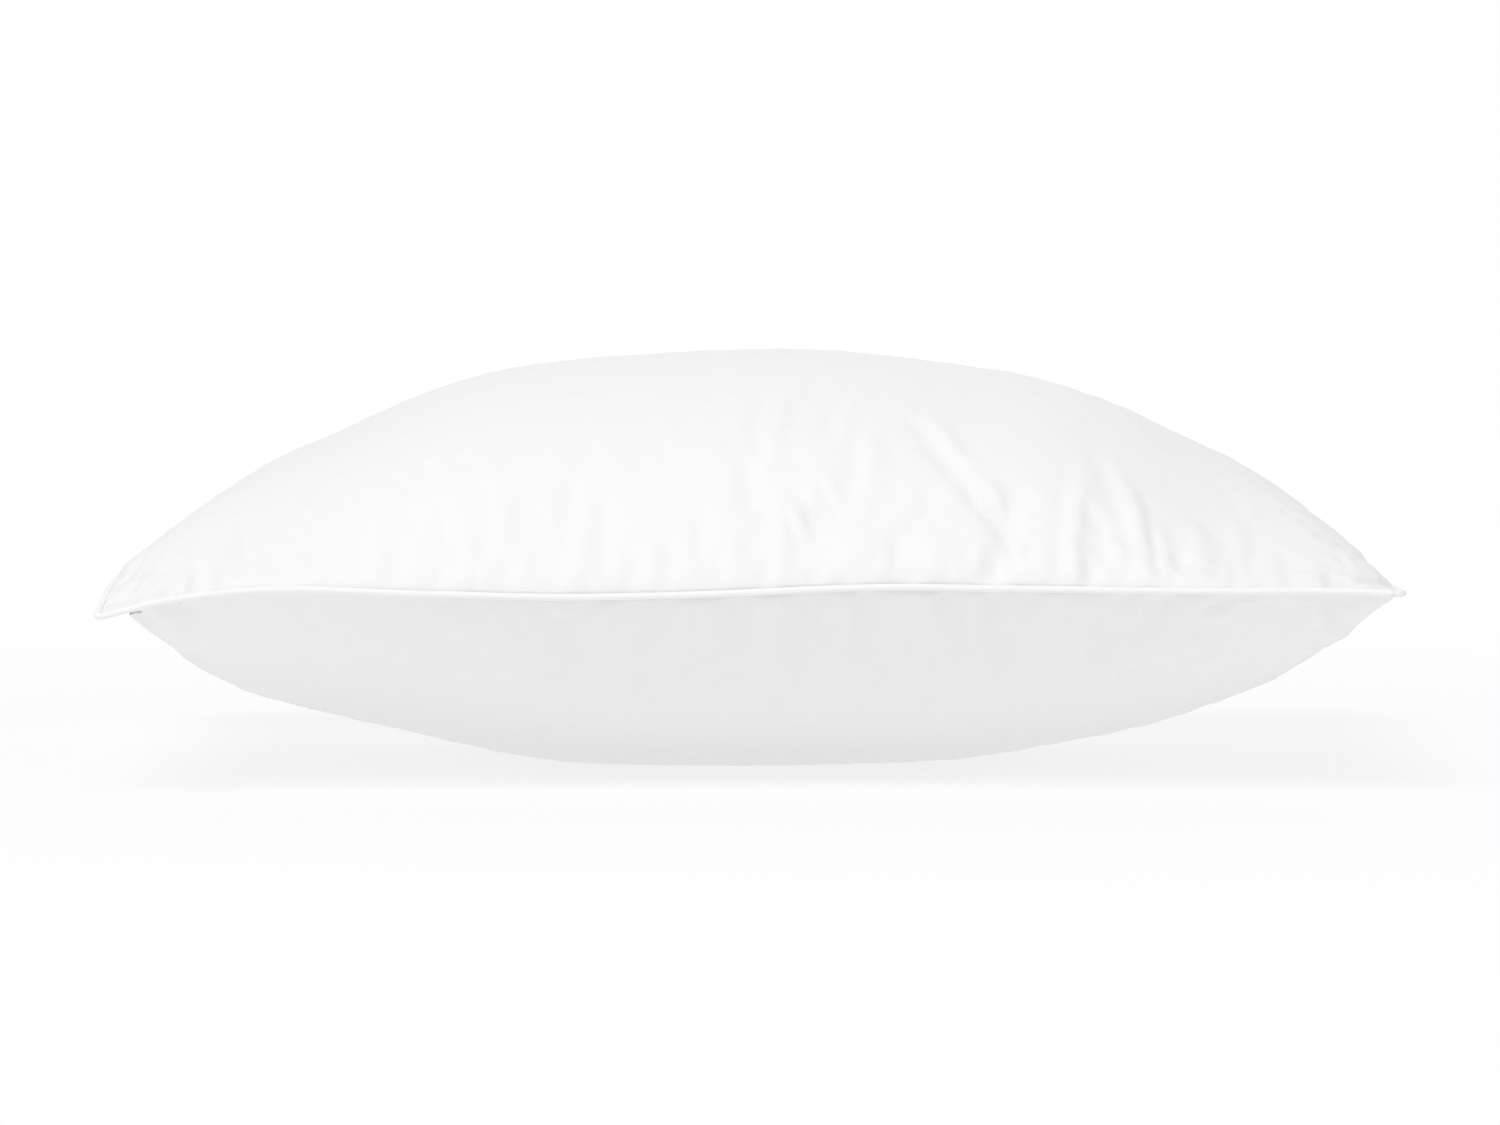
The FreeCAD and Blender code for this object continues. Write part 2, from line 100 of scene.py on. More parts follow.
# Single folds: start, bend and end (along from the middle, up or down from the front seam), half width and
# height, in millimetres of cloth. Last comes the lean, from 0 for a hump to 1 for a step.
TOP_FOLDS = [
    (7, 73, 10, 105, 16, 140, 5, 1.5, 0.7),
    (42, 89, 44, 108, 49, 128, 4, 0.9, 0.7),
    (53, 53, 55, 76, 58, 99, 4.5, 1.1, 0.6),
    (24, 49, 31, 33, 42, 17, 3, -1.3, 0.3),
    (16, 42, 20, 30, 25, 20, 3, -1.1, 0.3),
    (31, 62, 36, 48, 46, 28, 3, -0.8, 0.4),
    (80, 116, 98, 62, 142, 6, 4.5, -1.5, 0.7),
    (104, 60, 116, 36, 136, 10, 3, -0.7, 0.5),
    (73, 41, 95, 32, 113, 25, 3, -0.9, 0.4),
    (149, 5, 153, 45, 160, 85, 4.5, 1.2, 0.5),
    (190, 8, 182, 55, 172, 108, 5, 1.3, 0.7),
    (198, 6, 197, 35, 195, 62, 3.5, 1.1, 0.5),
    (176, 5, 172, 30, 170, 52, 3.5, 0.7, 0.5),
    (212, 5, 212, 34, 216, 65, 4, 0.9, 0.5),
    (226, 5, 228, 28, 232, 50, 3.5, 0.8, 0.4),
    (243, 5, 244, 30, 249, 55, 4, 0.8, 0.5),
    (128, 5, 130, 22, 134, 44, 3, 0.6, 0.4),
    (104, 4, 105, 14, 108, 28, 2.6, 0.5, 0.4),
    (60, 4, 62, 14, 66, 26, 2.6, 0.5, 0.4),
    (-177, 5, -179, 40, -178, 78, 5, 0.5, 0.5),
    (-120, 4, -120, 35, -118, 70, 5, 0.4, 0.5),
    (-82, 4, -84, 30, -84, 54, 4.5, 0.4, 0.5),
    (-31, 4, -31, 28, -29, 53, 4.5, 0.5, 0.5),
    (-275, 4, -277, 30, -283, 62, 4, 1.0, 0.5),
    (-292, 14, -284, 11, -276, 7, 3, -1.2, 0.2),
    (288, 58, 294, 48, 296, 36, 3, -1.0, 0.3),
    (282, 28, 292, 20, 299, 5, 3, -1.2, 0.4),
]
BOTTOM_FOLDS = [
    (-5, 4, 10, 38, 22, 78, 7, 1.1, 0.5),
    (36, 20, 38, 12, 43, 4, 4, 0.8, 0.4),
    (-121, 6, -115, 24, -110, 38, 5, 0.6, 0.4),
    (-110, 38, -104, 22, -98, 6, 5, 0.6, 0.4),
    (-27, 57, -18, 84, -5, 112, 7, 0.6, 0.5),
    (95, 60, 98, 35, 105, 9, 6, 0.8, 0.5),
    (157, 48, 170, 26, 189, 4, 6, 0.9, 0.5),
    (219, 37, 226, 20, 236, 4, 5, 0.8, 0.4),
    (261, 6, 285, 48, 308, 100, 8, 1.6, 0.4),
    (-284, 72, -280, 42, -278, 14, 6, 1.0, 0.5),
]


# ---- settings that a user would change


def length(default, name, description, **more):
    """A setting in metres."""
    return FloatProperty(name=name, description=description, default=default, unit="LENGTH", **more)


def number(default, name, description, **more):
    """A plain number."""
    return FloatProperty(name=name, description=description, default=default, **more)


def colour(default, name, description):
    """A colour."""
    return FloatVectorProperty(name=name, description=description, default=default, subtype="COLOR")


class PillowShape(bpy.types.PropertyGroup):
    pull_long: length(0.024, "Long side pull", "How far the middle of a long side is drawn in")
    pull_short: length(0.008, "Short side pull", "How far the middle of a short side is drawn in")
    corner_radius: length(0.004, "Corner bend", "Bend of the piping's line at a corner")
    belly: length(0.104, "Belly", "Depth of the lower panel below the seam before the bed flattens it")
    swelling: length(0.009, "Swelling", "How much lower the crown starts, because the cloth swells")
    overhang: length(0.003, "Overhang", "How far the upper panel swells out over the piping")
    creases: number(2.0, "Creases", "Strength of the single folds", subtype="FACTOR")
    cut_length: length(0.66, "Cut length", "Length of a panel between its seams, laid flat")
    cut_width: length(0.508, "Cut width", "Width of a panel between its seams, laid flat")
    cloth: length(0.0005, "Ticking", "Thickness of the ticking", precision=5)


class PillowCloth(bpy.types.PropertyGroup):
    cells: IntProperty(name="Cells", description="Cells of cloth along the pillow", default=86, min=20)
    steps: IntProperty(name="Frames", description="Frames that the cloth is simulated for", default=22, min=1)
    growth: number(0.055, "Ease", "Share by which the cloth is longer than its seam", subtype="FACTOR")
    growth_reach: length(0.05, "Ease reach", "How far from the seam the ease goes")
    pressure: number(8, "Pressure", "Pressure of the fill on the cloth")
    tension: number(80, "Tension", "Stiffness of the cloth against stretching")
    bending: number(0.4, "Bending", "Stiffness of the cloth against bending")
    weight: number(0.02, "Weight", "Mass of one point of the cloth")
    most: length(0.016, "Most", "The furthest that a point of the cloth may move")


class PillowFinish(bpy.types.PropertyGroup):
    ticking: colour((0.88, 0.88, 0.885), "Ticking", "Colour of the cotton ticking")
    piping: colour((0.92, 0.92, 0.925), "Piping", "Colour of the piping's bias strip")
    thread: colour((0.82, 0.82, 0.81), "Thread", "Colour of the sewing thread")
    cord: colour((0.78, 0.76, 0.7), "Cord", "Colour of the filler cord")
    fibre: colour((0.84, 0.84, 0.82), "Fibre", "Colour of the fibre fill")
    label: colour((0.9, 0.9, 0.9), "Label", "Colour of the satin label")
    thread_pitch: length(0.0004, "Thread pitch", "From one thread of the ticking to the next", precision=5)


class PillowStage(bpy.types.PropertyGroup):
    distance: length(4.4, "Distance", "Camera to the middle of the pillow")
    elevation: number(math.radians(3.3), "Elevation", "Camera above the level", subtype="ANGLE")
    aim: length(0.1007, "Aim", "Height that the camera looks at")
    lens: number(206.4, "Lens", "Focal length in millimetres")
    sky: number(0.64, "Sky", "Brightness of the light from all around")
    key: number(64.0, "Key", "Power of the soft light in front, in watts")
    back: number(17.0, "Back", "Power of the soft light behind, in watts")


def shape():
    return bpy.context.scene.pillow_shape


def cloth():
    return bpy.context.scene.pillow_cloth


def finish():
    return bpy.context.scene.pillow_finish


# ---- curves and surfaces


def smooth_through(points, at):
    """A cubic curve through (place, height) points. Its slope at a point is that of its neighbours' chord."""
    place, height = np.array(points, float).T
    slope = np.gradient(height, place)
    left = np.clip(np.searchsorted(place, at) - 1, 0, len(place) - 2)
    span = place[left + 1] - place[left]
    t = (at - place[left]) / span
    ends = (2 * t**3 - 3 * t**2 + 1) * height[left] + (3 * t**2 - 2 * t**3) * height[left + 1]
    return ends + span * ((t**3 - 2 * t**2 + t) * slope[left] + (t**3 - t**2) * slope[left + 1])


def crown(share, turn):
    """The top of an ellipse, from 1 in the middle to 0 at share 1, where it has turned by turn degrees."""
    sine, cosine = math.sin(math.radians(turn)), math.cos(math.radians(turn))
    return (np.sqrt(1 - (share * sine) ** 2) - cosine) / (1 - cosine)


def swollen(share, turn, swellings):
    """A crown with bell-shaped swellings and hollows added, each (place, height, reach)."""
    total = crown(share, turn)
    fade = np.minimum(1, 12 * (1 - np.abs(share)))
    for place, height, reach in swellings:
        total = total + height * np.exp(-(((share - place) / reach) ** 2)) * fade
    return total


def seam_rise(u, v):
    """Height of the seam above its level at shares u and v: the four sides' curves, blended inwards.

    It is the sum of the front-to-back blend and the left-to-right blend, less the blend of the four corners.
    """
    front, back = smooth_through(FRONT_LEVEL, u), smooth_through(BACK_LEVEL, u)
    left, right = smooth_through(LEFT_LEVEL, v), smooth_through(RIGHT_LEVEL, v)
    s, t = (1 + u) / 2, (1 + v) / 2
    near = (1 - s) * FRONT_LEVEL[0][1] + s * FRONT_LEVEL[-1][1]
    far = (1 - s) * BACK_LEVEL[0][1] + s * BACK_LEVEL[-1][1]
    return MM * ((1 - t) * front + t * back + (1 - s) * left + s * right - (1 - t) * near - t * far)


def plan(u, v, inset=0.0):
    """Level place of shares u and v: each side is a parabola that is drawn in most at its middle."""
    x = u * (HALF_LENGTH - inset - shape().pull_short * (1 - v**2))
    y = v * (HALF_WIDTH - inset - shape().pull_long * (1 - u**2))
    return x, y


def even_cloth(half, turn, count):
    """Shares of a half width from -1 to 1, such that equal lengths of a crown's curve lie between them."""
    share = np.linspace(-1, 1, 801)
    height = (CROWN_RISE - shape().swelling) * crown(share, turn)
    reach = np.concatenate([[0], np.cumsum(np.hypot(np.diff(share) * half, np.diff(height)))])
    return np.interp(np.linspace(0, reach[-1], count + 1), reach, share)


def axis_u(count):
    return even_cloth(HALF_LENGTH - shape().pull_short, TOP_TURN[0], count)


def axis_v(count):
    return even_cloth(HALF_WIDTH - shape().pull_long, TOP_TURN[1], count)


def shares(count_u, count_v):
    """Grids of the shares u and v of the plan, each from -1 to 1, with even lengths of cloth between them."""
    return np.meshgrid(axis_u(count_u), axis_v(count_v), indexing="ij")


def cloth_places(count_u, count_v):
    """Where those grids lie on the flat panel: metres from its middle, along and across."""
    half_length, half_width = shape().cut_length / 2, shape().cut_width / 2
    along = np.linspace(-half_length, half_length, count_u + 1)
    return np.meshgrid(along, np.linspace(-half_width, half_width, count_v + 1), indexing="ij")


def from_seam(along, across):
    """Lengths of cloth from the nearest short side and from the nearest long side."""
    return shape().cut_length / 2 - np.abs(along), shape().cut_width / 2 - np.abs(across)


def panel_start(u, v, side):
    """A panel before it is simulated: a crown along the pillow times a crown across, on the seam's blend."""
    x, y = plan(u, v, PIPING_RADIUS / 2)
    if side == TOP:
        turns, swellings, depth = TOP_TURN, CREST_SWELLINGS, CROWN_RISE - shape().swelling
    else:
        turns, swellings, depth = BELLY_TURN, BELLY_SWELLINGS, -shape().belly
    rise = depth * swollen(u, turns[0], swellings) * crown(v, turns[1]) * ear_share(u, v, side)
    z = SEAM_HEIGHT + seam_rise(u, v) + rise
    return np.stack([x, y, z], -1)


def ear_share(u, v, side):
    """How much of its height a panel keeps near the corners: 1 - exp(-(distance / ear)^4) for each corner.

    An ear is about twice as long along the short side as it is along the long one.
    """
    share = np.ones(u.shape)
    for right, back, reach in EARS:
        distance = np.hypot((u - right) * HALF_LENGTH, (v - back) * HALF_WIDTH * 0.45) / MM
        share = share * (1 - np.exp(-((distance / (reach if side == BOTTOM else 0.7 * reach)) ** 4)))
    return share


def normals(grid):
    """Unit normals of a grid of points, from the cross product of its two directions."""
    n = np.cross(np.gradient(grid, axis=0), np.gradient(grid, axis=1))
    return n / np.maximum(np.linalg.norm(n, axis=-1, keepdims=True), 1e-12)


def halved(grid):
    """The grid with a point added in the middle of each span, along its first direction, on a cubic curve."""
    before = np.concatenate([2 * grid[:1] - grid[1:2], grid[:-2]])
    after = np.concatenate([grid[2:], 2 * grid[-1:] - grid[-2:-1]])
    middle = (9 * (grid[:-1] + grid[1:]) - before - after) / 16
    out = np.empty((2 * len(grid) - 1, *grid.shape[1:]))
    out[::2], out[1::2] = grid, middle
    return out


def refined(grid):
    """The grid with its spans quartered along the pillow, where the folds are close, and halved across it."""
    return halved(halved(halved(grid)).swapaxes(0, 1)).swapaxes(0, 1)


def grid_quads(numbers):
    """Quads between neighbouring entries of a grid of vertex numbers."""
    a, b, c, d = numbers[:-1, :-1], numbers[1:, :-1], numbers[1:, 1:], numbers[:-1, 1:]
    return np.stack([a, b, c, d], -1).reshape(-1, 4)


def closed_both(points):
    """Quads of a grid of points that closes on itself both ways."""
    numbers = np.arange(points.shape[0] * points.shape[1]).reshape(points.shape[:2])
    ring = np.concatenate([numbers, numbers[:1]])
    return grid_quads(np.concatenate([ring, ring[:, :1]], axis=1))


def two_panels(u):
    """Numbers of the top and the bottom panel's points, which share the rim, and a mask of the rest."""
    top = np.arange(u.size).reshape(u.shape)
    bottom = top.copy()
    inside = np.zeros(u.shape, bool)
    inside[1:-1, 1:-1] = True
    bottom[inside] = u.size + np.arange(inside.sum())
    return top, bottom, inside


def run_along(points):
    """Length along a line of points from its first one."""
    return np.concatenate([[0], np.cumsum(np.linalg.norm(np.diff(points, axis=0), axis=1))])


def pairs(first, second):
    """A grid of every pair of values."""
    return np.stack(np.meshgrid(first, second, indexing="ij"), -1)


def new_piece(name, points, faces, uvs=None, material=None):
    """A smooth mesh object at the origin. uvs holds one (u, v) for each vertex, in metres of cloth."""
    mesh = bpy.data.meshes.new(name)
    mesh.from_pydata(points.reshape(-1, 3).tolist(), [], faces if isinstance(faces, list) else faces.tolist())
    mesh.polygons.foreach_set("use_smooth", np.ones(len(mesh.polygons), bool))
    if uvs is not None:
        corners = np.empty(len(mesh.loops), np.int32)
        mesh.loops.foreach_get("vertex_index", corners)
        layer = mesh.uv_layers.new(name="cloth")
        layer.data.foreach_set("uv", uvs.reshape(-1, 2)[corners].astype(np.float32).ravel())
    if material:
        mesh.materials.append(material)
    mesh.update()
    piece = bpy.data.objects.new(name, mesh)
    bpy.context.scene.collection.objects.link(piece)
    return piece


def hand_over(piece, slot, *nodes):
    """Puts a piece on the pillow's body, in place of CAD nodes. Its slot is not used."""
    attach(piece, "root")
    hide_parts(*nodes)


# ---- the casing's cloth


def held_share(u, v, side):
    """How far each point is held to its cut size: 1 in the middle, less where the seam gathers cloth."""
    along, across = cloth_places(u.shape[0] - 1, u.shape[1] - 1)
    to_front = shape().cut_width / 2 + across
    front = smooth_through(TOP_GATHERS if side == TOP else BOTTOM_GATHERS, u)
    others = 0.75 + 0.2 * np.sin(7 * u + 3 * v + side)
    near_front = np.exp(-((to_front / 0.12) ** 2))
    share = near_front * front + (1 - near_front) * others
    distance = np.minimum(*from_seam(along, across))
    return 1 - np.clip(share, 0, 1) * np.exp(-((distance / cloth().growth_reach) ** 2))


def casing_mesh(u, v):
    """Both panels as one closed mesh that shares the seam's points, with each panel's point numbers."""
    top, bottom, inside = two_panels(u)
    rng = np.random.default_rng(3)
    upper, lower = panel_start(u, v, TOP), panel_start(u, v, BOTTOM)
    upper[inside] += rng.normal(0, 0.3 * MM, upper[inside].shape)
    lower[inside] += rng.normal(0, 0.3 * MM, lower[inside].shape)
    held = np.concatenate([held_share(u, v, TOP).ravel(), held_share(u, v, BOTTOM)[inside]])
    points = np.concatenate([upper.reshape(-1, 3), lower[inside]])
    faces = np.concatenate([grid_quads(top), grid_quads(bottom)[:, ::-1]])
    return points, faces, top, bottom, held


def simulate(points, faces, held, rim):
    """Blows the casing up with the Cloth modifier and returns its points. The seam stays where it is."""
    piece = new_piece("casing_rehearsal", points, faces)
    pinned = piece.vertex_groups.new(name="seam")
    pinned.add(rim.tolist(), 1.0, "REPLACE")
    size = piece.vertex_groups.new(name="held")
    for level in np.unique(np.round(held, 2)):
        size.add(np.flatnonzero(np.round(held, 2) == level).tolist(), float(level), "REPLACE")
    modifier = piece.modifiers.new("cloth", "CLOTH")
    modifier.collision_settings.use_collision = False
    modifier.point_cache.frame_end = cloth().steps + 1
    stuff = modifier.settings
    stuff.quality = 5
    stuff.mass = cloth().weight
    stuff.tension_stiffness = stuff.compression_stiffness = cloth().tension
    stuff.shear_stiffness = 5
    stuff.bending_stiffness = cloth().bending
    stuff.tension_damping = stuff.compression_damping = stuff.shear_damping = 5
    stuff.use_pressure = True
    stuff.uniform_pressure_force = cloth().pressure
    stuff.vertex_group_mass = pinned.name
    stuff.vertex_group_shrink = size.name
    stuff.shrink_min = -cloth().growth
    stuff.shrink_max = 0
    stuff.effector_weights.gravity = 0
    for step in range(1, cloth().steps + 1):
        bpy.context.scene.frame_set(step)
    result = piece.evaluated_get(bpy.context.evaluated_depsgraph_get()).data
    moved = np.empty(len(points) * 3)
    result.vertices.foreach_get("co", moved)
    bpy.data.objects.remove(piece)
    bpy.context.scene.frame_set(1)
    shift = moved.reshape(-1, 3) - points
    distance = np.maximum(np.linalg.norm(shift, axis=1, keepdims=True), 1e-9)
    return points + shift * np.minimum(1, cloth().most / distance)


def fold_height(fold, along, up):
    """Height of one fold over the cloth: a hump or a step across a curved line, fading out at its two ends.

    The hump is 1 - (d/w)^2 under a bell, so it has a dip each side; the step is d/w under the same bell.
    """
    start, bend, end = np.reshape(fold[:6], (3, 2))
    width, height, lean = fold[6:]
    t = np.linspace(0, 1, 17)[:, None]
    line = (1 - t) ** 2 * start + 2 * t * (1 - t) * bend + t**2 * end
    run = np.gradient(line, axis=0)
    dx, dy = along[..., None] - line[:, 0], up[..., None] - line[:, 1]
    nearest = np.argmin(dx**2 + dy**2, axis=-1)
    dx, dy = (np.take_along_axis(d, nearest[..., None], -1)[..., 0] for d in (dx, dy))
    step = np.linalg.norm(run[nearest], axis=-1)
    forward = (dx * run[nearest, 0] + dy * run[nearest, 1]) / step
    across = (dx * run[nearest, 1] - dy * run[nearest, 0]) / step / width
    place = (nearest + forward / step) / 16
    past = (np.clip(place, 0, 1) - place) * 16 * step / width
    fade = np.sin(np.pi * np.clip(place, 0, 1) ** 0.7) ** 0.8
    bell = np.exp(-(across**2) / 2 - past**2)
    return height * fade * bell * ((1 - lean) * (1 - across**2) + lean * 1.6 * across)


def gather_height(along, across, side):
    """Small puckers beside the piping, in millimetres: waves along the seam that die away from it."""
    from_short, from_long = (distance / MM for distance in from_seam(along, across))
    distance = np.minimum(from_short, from_long)
    place = np.where(from_long < from_short, along, across) / MM + 37 * side
    wave = np.sin(place / 1.55 + 2.1 * np.sin(place / 17))
    wave = wave + 0.6 * np.sin(place / 2.7 + 1.7 * np.sin(place / 29))
    patchy = 0.35 + 0.65 * np.sin(place / 41 + side) ** 2
    return 0.45 * wave * patchy * (1 - np.exp(-distance / 2)) * np.exp(-distance / 9)


def overhang(along, across):
    """How far the upper panel swells out over the piping: d/D exp(1 - d/D) from each of two seams."""
    reach = 13 * MM
    short, long = from_seam(along, across)
    out_x, out_y = (d / reach * np.exp(1 - d / reach) * shape().overhang for d in (short, long))
    clear_x, clear_y = (1 - np.exp(-((d / (60 * MM)) ** 2)) for d in (long, short))
    x = 0.3 * np.sign(along) * out_x * clear_x
    return np.stack([x, np.sign(across) * out_y * clear_y, 0 * along], -1)


def settle(grid):
    """Flattens what would sink into the bed: height becomes half of itself + root(its square + a bit)."""
    soft = 3 * MM
    grid[..., 2] = (grid[..., 2] + np.sqrt(grid[..., 2] ** 2 + soft**2)) / 2
    return grid


def finished_panel(grid, side):
    """A panel's simulated grid made finer, with its single folds and its seam puckers, lying on the bed."""
    fine = refined(grid)
    along, across = cloth_places(fine.shape[0] - 1, fine.shape[1] - 1)
    if side == TOP:
        fine = fine + overhang(along, across)
    height = gather_height(along, across, side)
    up = (across + shape().cut_width / 2) / MM
    for fold in TOP_FOLDS if side == TOP else BOTTOM_FOLDS:
        height = height + shape().creases * fold_height(fold, along / MM, up)
    height *= np.minimum(1, np.minimum(*from_seam(along, across)) / (4 * MM))
    return settle(fine + side * normals(fine) * (height * MM)[..., None])


PANELS = {}


def panel_grid(side):
    """A finished panel's grid. It raises an error when the casing isn't there yet."""
    if side not in PANELS:
        raise RuntimeError("Build the casing first: the other pieces follow its panels")
    return PANELS[side]


def on_panel(side, u, v):
    """Points of a panel at arrays of shares u and v, between its grid's points."""
    grid = panel_grid(side)
    rows, columns = grid.shape[0] - 1, grid.shape[1] - 1
    i = np.interp(u, axis_u(rows), np.arange(rows + 1))
    j = np.interp(v, axis_v(columns), np.arange(columns + 1))
    a, b = np.clip(i.astype(int), 0, rows - 1), np.clip(j.astype(int), 0, columns - 1)
    s, t = (i - a)[..., None], (j - b)[..., None]
    near = (1 - s) * grid[a, b] + s * grid[a + 1, b]
    far = (1 - s) * grid[a, b + 1] + s * grid[a + 1, b + 1]
    return (1 - t) * near + t * far


# ---- the seam's line and what follows it


def seam_line(inset, spacing):
    """The seam's closed line, drawn in by inset: a rectangle with round corners, bent to the pulled-in sides.

    Returns the points, evenly spaced, and the shares u and v of each.
    """
    radius = shape().corner_radius
    turn = np.linspace(0, np.pi / 2, 9)
    corners = [(1, -1, -np.pi / 2), (1, 1, 0), (-1, 1, np.pi / 2), (-1, -1, np.pi)]
    right, back, first = np.array(corners).T[..., None]
    x = right * (HALF_LENGTH - radius) + radius * np.cos(turn + first)
    y = back * (HALF_WIDTH - radius) + radius * np.sin(turn + first)
    outline = np.stack([x, y], -1).reshape(-1, 2)
    outline = np.concatenate([outline, outline[:1]])
    reach = run_along(outline)
    count = int(reach[-1] / spacing)
    even = np.arange(count) * reach[-1] / count
    u = np.interp(even, reach, outline[:, 0]) / HALF_LENGTH
    v = np.interp(even, reach, outline[:, 1]) / HALF_WIDTH
    x, y = plan(u, v, inset)
    return np.stack([x, y, SEAM_HEIGHT + seam_rise(u, v)], -1), u, v


def line_frames(line):
    """Along a closed line: unit tangent, level direction out of the pillow, and upward direction."""
    tangent = np.roll(line, -1, axis=0) - np.roll(line, 1, axis=0)
    tangent /= np.linalg.norm(tangent, axis=1, keepdims=True)
    side = np.cross(tangent, [0, 0, 1.0])
    side /= np.linalg.norm(side, axis=1, keepdims=True)
    return tangent, side, np.cross(side, tangent)


def swept(line, out, up):
    """A closed tube: at each point of a closed line, the profile's offsets out of the pillow and up."""
    _, side, rise = line_frames(line)
    points = line[:, None] + out[..., None] * side[:, None] + up[..., None] * rise[:, None]
    return points, closed_both(points)


def stitches(middles, along, outward, length, radius, sink):
    """Short threads, each an arch whose ends dive by sink: six-sided rings at five places along each."""
    t = np.linspace(-1, 1, 5)
    side = np.cross(along, outward)
    arch = (1 - t**4)[None, :, None] * sink * outward[:, None]
    run = t[None, :, None] * along[:, None] * length / 2
    centre = middles[:, None] + run + arch - sink * outward[:, None] / 2
    angle = np.arange(6) * np.pi / 3
    narrow = np.array([0.45, 0.95, 1, 0.95, 0.45])[None, :, None, None] * radius
    ring = np.cos(angle)[:, None] * outward[:, None, None] + np.sin(angle)[:, None] * side[:, None, None]
    points = centre[:, :, None] + narrow * ring
    one = np.arange(30).reshape(5, 6)
    tube = grid_quads(np.concatenate([one, one[:, :1]], axis=1))
    offsets = np.arange(len(middles)) * 30
    quads = (offsets[:, None, None] + tube).reshape(-1, 4)
    caps = (offsets[:, None, None] + np.stack([one[0, ::-1], one[-1]])).reshape(-1, 6)
    return points, [*quads[:, ::-1].tolist(), *caps[:, ::-1].tolist()]


# ---- finishes


def arithmetic(operation):
    """A method that adds one Math node."""

    def worked(self, other=0.0):
        return self.finish.node("Math", {"operation": operation}, {0: self, 1: other})

    return worked


class Wire:
    """An output of a finish's nodes. Arithmetic on it adds Math nodes."""

    def __init__(self, finish, socket):
        self.finish, self.socket = finish, socket

    __add__ = __radd__ = arithmetic("ADD")
    __sub__, __mul__ = arithmetic("SUBTRACT"), arithmetic("MULTIPLY")
    __gt__, __abs__, sine = arithmetic("GREATER_THAN"), arithmetic("ABSOLUTE"), arithmetic("SINE")
    at_least, at_most = arithmetic("MAXIMUM"), arithmetic("MINIMUM")

    def clipped(self):
        return self.at_least(0.0).at_most(1.0)


class Finish:
    """A material or a world under construction: its node tree, and what adds to it."""

    def __init__(self, owner):
        self.owner = owner
        owner.use_nodes = True
        self.tree = owner.node_tree
        self.tree.nodes.clear()

    def node(self, kind, settings=None, sockets=None, out=0):
        """A node of a kind: its settings first, then values or wires for its sockets. Returns one output."""
        node = self.tree.nodes.new("ShaderNode" + kind)
        for name, value in (settings or {}).items():
            setattr(node, name, value)
        for key, value in (sockets or {}).items():
            if isinstance(value, Wire):
                self.tree.links.new(value.socket, node.inputs[key])
            else:
                node.inputs[key].default_value = value
        return Wire(self, node.outputs[out])

    def noise(self, vector, scale, detail, stretch=(1, 1, 1)):
        """Noise from 0 to 1, on a vector that is stretched first."""
        placed = self.node("Mapping", None, {"Vector": vector, "Scale": stretch})
        return self.node("TexNoise", None, {"Vector": placed, "Scale": scale, "Detail": detail})

    def blend(self, share, tint, dark, light=1.0):
        """A colour a share of the way from tint times dark to tint times light."""
        ends = {6: (*shade(tint, dark), 1), 7: (*shade(tint, light), 1)}
        return self.node("Mix", {"data_type": "RGBA"}, {0: share, **ends}, 2)

    def bump(self, height):
        """A normal for a height in metres."""
        return self.node("Bump", None, {"Height": height, "Strength": 1.0, "Distance": 1.0})

    def cloth_place(self):
        """The place on the cloth map, and its two numbers."""
        place = self.node("UVMap", {"uv_map": "cloth"})
        return place, *(self.node("SeparateXYZ", None, {0: place}, out) for out in (0, 1))

    def surface(self, **inputs):
        """Closes the material with a Principled shader. An input's name has its spaces as underscores."""
        shader = self.node("BsdfPrincipled", None, {name.replace("_", " "): v for name, v in inputs.items()})
        return self.close(shader)

    def close(self, shader, kind="Material"):
        output = self.tree.nodes.new("ShaderNodeOutput" + kind)
        self.tree.links.new(shader.socket, output.inputs["Surface"])
        return self.owner


def new_finish(name):
    return Finish(bpy.data.materials.new(name))


def shade(tint, factor):
    """A colour made lighter or darker."""
    return tuple(min(1.0, c * factor) for c in tint)


def plain_weave(u, v, pitch):
    """Height from -1 to 1 of a plain weave: warp and weft cross over and under at every thread."""
    turn = math.pi / pitch
    return (u * turn).sine() * (v * turn).sine()


def ticking_finish():
    """Close plain-weave cotton: threads, slubs that run along them, and the softness of washed cloth."""
    cotton = new_finish("cotton_ticking")
    place, u, v = cotton.cloth_place()
    weave = plain_weave(u, v, finish().thread_pitch)
    weft_slubs = cotton.noise(place, 1.0, 2, (90, 1400, 1))
    warp_slubs = cotton.noise(place, 1.0, 2, (1400, 90, 1))
    slubs = (weft_slubs + warp_slubs) * 0.5
    soft = cotton.noise(place, 38.0, 3)
    tone = ((slubs - 0.5) * 0.5 + 0.5 + weave * 0.03).clipped()
    height = weave * 1.6e-5 + slubs * 2.5e-5 + soft * 9e-5
    return cotton.surface(
        Base_Color=cotton.blend(tone, finish().ticking, 0.965, 1.03),
        Roughness=0.78 + slubs * 0.14,
        Sheen_Weight=0.06,
        Sheen_Roughness=0.5,
        Specular_IOR_Level=0.3,
        Normal=cotton.bump(height),
    )


SLANT = 0.7071  # the sine of an eighth of a turn


